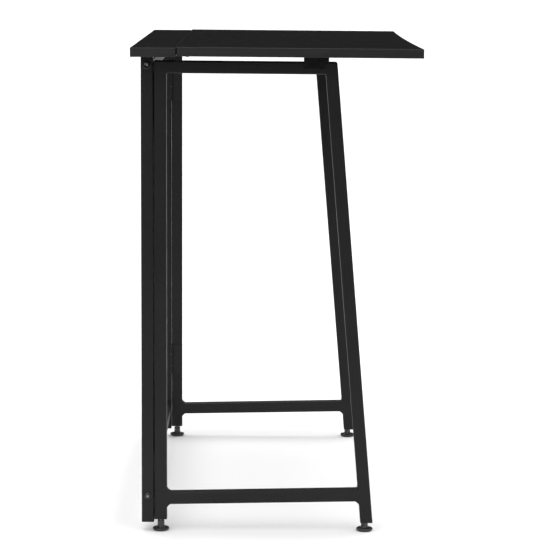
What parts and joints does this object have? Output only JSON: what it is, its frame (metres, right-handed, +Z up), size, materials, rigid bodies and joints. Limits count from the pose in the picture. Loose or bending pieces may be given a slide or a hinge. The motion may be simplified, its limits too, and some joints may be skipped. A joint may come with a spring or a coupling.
{
  "type": "folding desk",
  "caption": "Black folding work desk: rear board strip and hinged front board on square steel tube, with side gates that fold in flat against the back frame.",
  "frame": {"origin": "on the floor under the middle of the desk top's outline", "axes": "+Z up; -Y towards the person at the desk; +X to that person's right, along the width"},
  "size_m": [0.8, 0.44, 0.7511],
  "materials": {
    "black_powder_coat": "semi-gloss black powder coat with a fine texture",
    "black_laminate": "matt black laminate on particle board, with matching edge band",
    "black_plastic": "moulded black plastic, fine texture",
    "blackened_steel": "black oxide, slightly shiny",
    "zinc_plated_steel": "bright zinc plate"
  },
  "bodies": {
    "back_frame": {"top_rail": "black_powder_coat", "bottom_rail": "black_powder_coat", "rear_strip": "black_laminate", "left_back_post": "black_powder_coat", "left_post_top_cap": "black_plastic", "left_post_bottom_plug": "black_plastic", "left_strip_spacer": "black_powder_coat", "left_top_frame_screw": "blackened_steel", "left_bottom_frame_screw": "blackened_steel", "left_top_rail_nut": "blackened_steel", "left_bottom_rail_nut": "blackened_steel", "left_panel_hinge_fixed_leaf": "blackened_steel", "left_panel_hinge_pin": "zinc_plated_steel", "left_lower_gate_hinge_fixed_leaf": "blackened_steel", "left_lower_gate_hinge_pin": "zinc_plated_steel", "left_upper_gate_hinge_fixed_leaf": "blackened_steel", "left_upper_gate_hinge_pin": "zinc_plated_steel", "right_back_post": "black_powder_coat", "right_post_top_cap": "black_plastic", "right_post_bottom_plug": "black_plastic", "right_strip_spacer": "black_powder_coat", "right_top_frame_screw": "blackened_steel", "right_bottom_frame_screw": "blackened_steel", "right_top_rail_nut": "blackened_steel", "right_bottom_rail_nut": "blackened_steel", "right_panel_hinge_fixed_leaf": "blackened_steel", "right_panel_hinge_pin": "zinc_plated_steel", "right_lower_gate_hinge_fixed_leaf": "blackened_steel", "right_lower_gate_hinge_pin": "zinc_plated_steel", "right_upper_gate_hinge_fixed_leaf": "blackened_steel", "right_upper_gate_hinge_pin": "zinc_plated_steel"},
    "front_panel": {"front_panel": "black_laminate", "left_stop_bracket": "black_plastic", "left_panel_hinge_moving_leaf": "blackened_steel", "right_stop_bracket": "black_plastic", "right_panel_hinge_moving_leaf": "blackened_steel"},
    "left_gate": {"left_gate_post": "black_powder_coat", "left_gate_top_tube": "black_powder_coat", "left_gate_leg": "black_powder_coat", "left_gate_stretcher": "black_powder_coat", "left_lower_gate_hinge_moving_leaf": "blackened_steel", "left_upper_gate_hinge_moving_leaf": "blackened_steel", "left_rear_foot_insert": "black_plastic", "left_front_foot_insert": "black_plastic"},
    "left_rear_foot": {"left_rear_foot": "black_plastic"},
    "left_front_foot": {"left_front_foot": "black_plastic"},
    "right_gate": {"right_gate_post": "black_powder_coat", "right_gate_top_tube": "black_powder_coat", "right_gate_leg": "black_powder_coat", "right_gate_stretcher": "black_powder_coat", "right_lower_gate_hinge_moving_leaf": "blackened_steel", "right_upper_gate_hinge_moving_leaf": "blackened_steel", "right_rear_foot_insert": "black_plastic", "right_front_foot_insert": "black_plastic"},
    "right_rear_foot": {"right_rear_foot": "black_plastic"},
    "right_front_foot": {"right_front_foot": "black_plastic"}
  },
  "joints": [
    {"name": "left_gate_swing", "type": "hinge", "parent": "back_frame", "child": "left_gate", "pos_m": [-0.341, 0.1865, 0.4], "axis": [0, 0, 1], "range_deg": [0, 90]},
    {"name": "right_gate_swing", "type": "hinge", "parent": "back_frame", "child": "right_gate", "pos_m": [0.341, 0.1865, 0.4], "axis": [0, 0, -1], "range_deg": [0, 90]},
    {"name": "panel_lift", "type": "hinge", "parent": "back_frame", "child": "front_panel", "pos_m": [0, 0.15095, 0.7333], "axis": [-1, 0, 0], "range_deg": [0, 4]},
    {"name": "left_rear_foot_thread", "type": "slide", "parent": "left_gate", "child": "left_rear_foot", "axis": [0, 0, -1], "range_m": [0, 0.008]},
    {"name": "left_front_foot_thread", "type": "slide", "parent": "left_gate", "child": "left_front_foot", "axis": [0, 0, -1], "range_m": [0, 0.008]},
    {"name": "right_rear_foot_thread", "type": "slide", "parent": "right_gate", "child": "right_rear_foot", "axis": [0, 0, -1], "range_m": [0, 0.008]},
    {"name": "right_front_foot_thread", "type": "slide", "parent": "right_gate", "child": "right_front_foot", "axis": [0, 0, -1], "range_m": [0, 0.008]}
  ]
}
